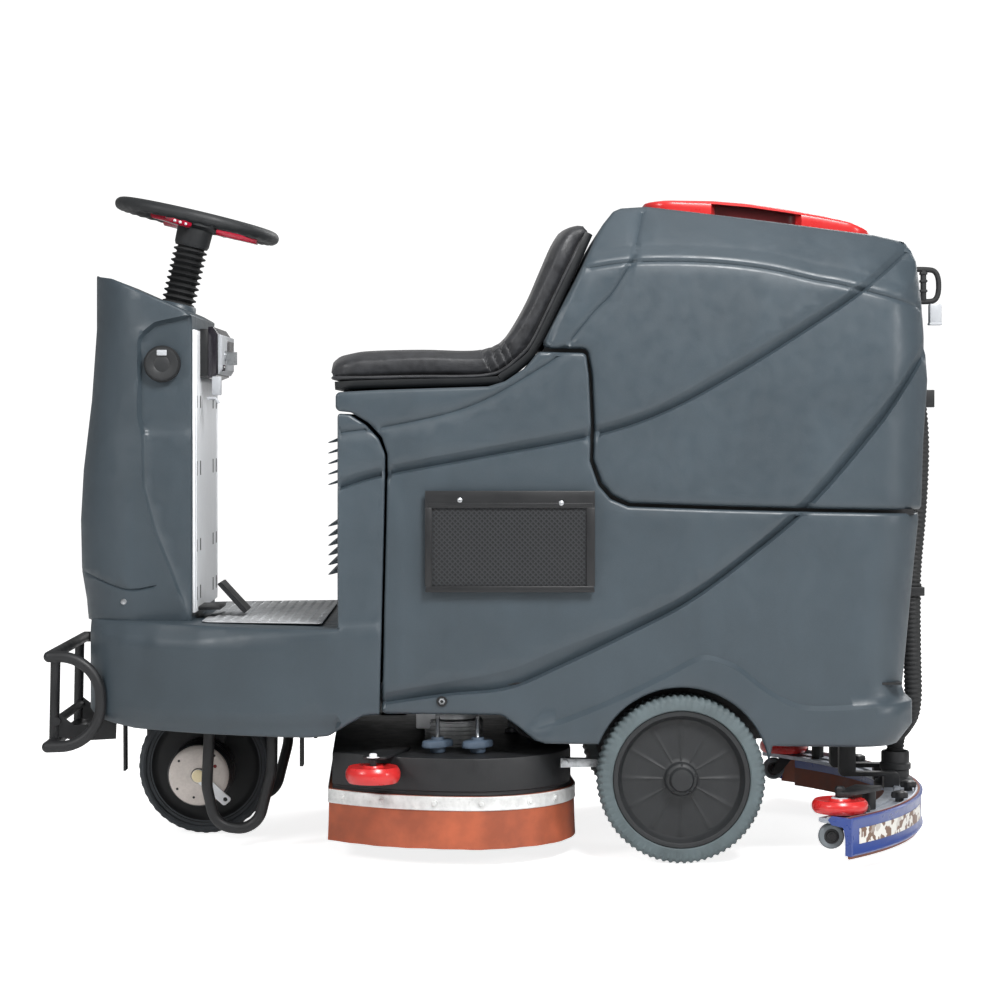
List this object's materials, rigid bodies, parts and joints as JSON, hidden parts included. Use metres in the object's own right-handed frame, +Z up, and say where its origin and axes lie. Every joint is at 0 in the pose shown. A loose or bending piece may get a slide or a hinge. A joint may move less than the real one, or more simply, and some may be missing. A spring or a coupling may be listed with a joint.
{
  "type": "ride on scrubber",
  "caption": "Ride-on floor scrubber-dryer with driver's seat, steering column, brush deck, tanks and rear squeegee; wheels, deck, squeegee, lid and seat move.",
  "frame": {"origin": "on the floor, under the middle of the machine's length and width", "axes": "+Z up, front of the machine towards -X, its left side towards -Y"},
  "size_m": [1.624, 0.9392, 1.1836],
  "materials": {
    "body_plastic": "rotomoulded, fine grain",
    "frame_steel": "black powder coat",
    "tread_aluminium": "tread plate",
    "white_sheet": "satin",
    "black_plastic": "fine grain",
    "bellows_rubber": "satin",
    "seat_leather": "artificial leather, satin",
    "red_plastic": "semi-gloss",
    "tyre_rubber": "grey non-marking",
    "rim_plastic": "satin",
    "motor_metal": "satin",
    "skirt_gum": "gum rubber",
    "strap_steel": "satin",
    "deck_paint": "satin",
    "bristle": "nylon",
    "squeegee_metal": "satin",
    "squeegee_blue": "semi-gloss",
    "blade_rubber": "matte",
    "hose_rubber": "satin",
    "battery_case": "moulded",
    "copper": "bare",
    "controller_case": "finned",
    "caster_rubber": "grey",
    "knob_plastic": "moulded",
    "key_metal": "polished"
  },
  "bodies": {
    "root": {"chassis_frame": "frame_steel", "footwell_body": "body_plastic", "floor_plate": "tread_aluminium", "column_cover": "body_plastic", "column_panel": "white_sheet", "dash_pod": "black_plastic", "column_bellows": "bellows_rubber", "front_bumper": "frame_steel", "wheel_guards": "frame_steel", "solution_tank": "body_plastic", "leg_vent_grille": "black_plastic", "recovery_tank": "body_plastic", "net_pocket": "black_plastic", "batteries": "battery_case", "wiring": "copper", "vacuum_motor": "motor_metal", "main_controller": "controller_case", "suction_hose": "hose_rubber", "drain_hose": "hose_rubber", "seat_hinge": "motor_metal", "lift_actuators": "motor_metal", "steering_chain": "strap_steel", "fasteners": "strap_steel"},
    "steering": {"steering_wheel": "black_plastic", "steering_shaft": "motor_metal"},
    "pinion": {"steering_pinion": "motor_metal"},
    "fork": {"drive_fork": "frame_steel", "drive_motor": "motor_metal"},
    "brake_lever": {"brake_lever": "white_sheet"},
    "drive_wheel": {"drive_tyre": "tyre_rubber", "drive_rim": "rim_plastic"},
    "rear_wheel_left": {"rear_tyre_left": "tyre_rubber", "rear_rim_left": "rim_plastic"},
    "rear_wheel_right": {"rear_tyre_right": "tyre_rubber", "rear_rim_right": "rim_plastic"},
    "deck": {"deck_shell": "deck_paint", "deck_skirt": "skirt_gum", "deck_strap": "strap_steel", "deck_motors": "motor_metal", "deck_knobs": "knob_plastic"},
    "brush_left": {"brush_left": "bristle"},
    "brush_right": {"brush_right": "bristle"},
    "deck_roller_left": {"deck_roller_left": "red_plastic"},
    "deck_roller_right": {"deck_roller_right": "red_plastic"},
    "deck_arms": {"deck_arms": "strap_steel"},
    "squeegee": {"squeegee_frame": "squeegee_metal", "squeegee_blades": "blade_rubber", "squeegee_strap": "squeegee_blue"},
    "squeegee_roller_left": {"squeegee_roller_left": "red_plastic"},
    "squeegee_roller_right": {"squeegee_roller_right": "red_plastic"},
    "caster_left": {"caster_left": "caster_rubber"},
    "caster_right": {"caster_right": "caster_rubber"},
    "squeegee_arms": {"squeegee_arms": "frame_steel"},
    "tank_lid": {"tank_lid": "red_plastic"},
    "seat": {"seat_pan": "black_plastic", "seat_cushion": "seat_leather"},
    "pedal": {"accelerator_pedal": "black_plastic"},
    "key": {"key_switch": "key_metal"},
    "emergency_stop": {"emergency_stop": "red_plastic"},
    "charge_flap": {"charge_flap": "black_plastic"}
  },
  "joints": [
    {"name": "fork_steer", "type": "hinge", "parent": "root", "child": "fork", "pos_m": [-0.539, 0, 0.28], "axis": [0, 0, 1], "range_deg": [-70, 70]},
    {"name": "steering_turn", "type": "hinge", "parent": "root", "child": "steering", "pos_m": [-0.558, 0, 1.138], "axis": [0.225, 0, 0.9744], "range_deg": [-140, 140]},
    {"name": "pinion_turn", "type": "hinge", "parent": "root", "child": "pinion", "pos_m": [-0.655, 0, 0.4], "axis": [0, 0, 1], "range_deg": [-140, 140]},
    {"name": "drive_wheel_spin", "type": "hinge", "parent": "fork", "child": "drive_wheel", "pos_m": [-0.539, 0, 0.125], "axis": [0, 1, 0], "continuous": true},
    {"name": "brake_release", "type": "hinge", "parent": "fork", "child": "brake_lever", "pos_m": [-0.539, -0.158, 0.125], "axis": [0, 1, 0], "range_deg": [0, 20]},
    {"name": "rear_wheel_left_spin", "type": "hinge", "parent": "root", "child": "rear_wheel_left", "pos_m": [0.317, -0.325, 0.146], "axis": [0, 1, 0], "continuous": true},
    {"name": "rear_wheel_right_spin", "type": "hinge", "parent": "root", "child": "rear_wheel_right", "pos_m": [0.317, 0.325, 0.146], "axis": [0, 1, 0], "continuous": true},
    {"name": "deck_lift", "type": "slide", "parent": "root", "child": "deck", "axis": [0, 0, -1], "range_m": [0, 0.028]},
    {"name": "deck_arm_turn", "type": "hinge", "parent": "root", "child": "deck_arms", "pos_m": [0.196, 0, 0.199], "axis": [0, -1, 0], "range_deg": [0, 15.82]},
    {"name": "brush_left_spin", "type": "hinge", "parent": "deck", "child": "brush_left", "pos_m": [-0.078, -0.178, 0.1], "axis": [0, 0, 1], "continuous": true},
    {"name": "brush_right_spin", "type": "hinge", "parent": "deck", "child": "brush_right", "pos_m": [-0.098, 0.178, 0.1], "axis": [0, 0, 1], "continuous": true},
    {"name": "deck_roller_left_spin", "type": "hinge", "parent": "deck", "child": "deck_roller_left", "pos_m": [-0.214, -0.398, 0.16], "axis": [0, 0, 1], "continuous": true},
    {"name": "deck_roller_right_spin", "type": "hinge", "parent": "deck", "child": "deck_roller_right", "pos_m": [-0.234, 0.398, 0.16], "axis": [0, 0, 1], "continuous": true},
    {"name": "squeegee_lift", "type": "slide", "parent": "root", "child": "squeegee", "axis": [0, 0, -1], "range_m": [0, 0.027]},
    {"name": "squeegee_arm_turn", "type": "hinge", "parent": "root", "child": "squeegee_arms", "pos_m": [0.461, 0, 0.199], "axis": [0, 1, 0], "range_deg": [0, 11.7]},
    {"name": "squeegee_roller_left_spin", "type": "hinge", "parent": "squeegee", "child": "squeegee_roller_left", "pos_m": [0.584, -0.398, 0.108], "axis": [0, 0, 1], "continuous": true},
    {"name": "squeegee_roller_right_spin", "type": "hinge", "parent": "squeegee", "child": "squeegee_roller_right", "pos_m": [0.584, 0.398, 0.108], "axis": [0, 0, 1], "continuous": true},
    {"name": "caster_left_spin", "type": "hinge", "parent": "squeegee", "child": "caster_left", "pos_m": [0.566, -0.42, 0.06], "axis": [0, 1, 0], "continuous": true},
    {"name": "caster_right_spin", "type": "hinge", "parent": "squeegee", "child": "caster_right", "pos_m": [0.566, 0.42, 0.06], "axis": [0, 1, 0], "continuous": true},
    {"name": "lid_hinge", "type": "hinge", "parent": "root", "child": "tank_lid", "pos_m": [0.466, 0.226, 1.12775], "axis": [-0.9924, 0, 0.1234], "range_deg": [0, 95]},
    {"name": "seat_tilt", "type": "hinge", "parent": "root", "child": "seat", "pos_m": [-0.272, 0, 0.823], "axis": [0, -1, 0], "range_deg": [0, 60]},
    {"name": "pedal_press", "type": "hinge", "parent": "root", "child": "pedal", "pos_m": [-0.455, -0.1, 0.419], "axis": [0, -1, 0], "range_deg": [0, 12], "stiffness_Nm_per_rad": 3, "springref_deg": -8.59},
    {"name": "key_turn", "type": "hinge", "parent": "root", "child": "key", "pos_m": [-0.505, -0.06, 0.885], "axis": [1, 0, 0], "range_deg": [0, 90]},
    {"name": "stop_press", "type": "slide", "parent": "root", "child": "emergency_stop", "axis": [0, -1, 0], "range_m": [0, 0.006]},
    {"name": "flap_open", "type": "hinge", "parent": "root", "child": "charge_flap", "pos_m": [-0.598, -0.21225, 0.838], "axis": [1, 0, 0], "range_deg": [0, 100]}
  ],
  "couplings": [
    {"joint": "steering_turn", "follows": "fork_steer", "ratio": 2},
    {"joint": "pinion_turn", "follows": "fork_steer", "ratio": 2},
    {"joint": "deck_arm_turn", "follows": "deck_lift", "rad_per_m": 9.5473},
    {"joint": "squeegee_arm_turn", "follows": "squeegee_lift", "rad_per_m": 7.2403}
  ]
}
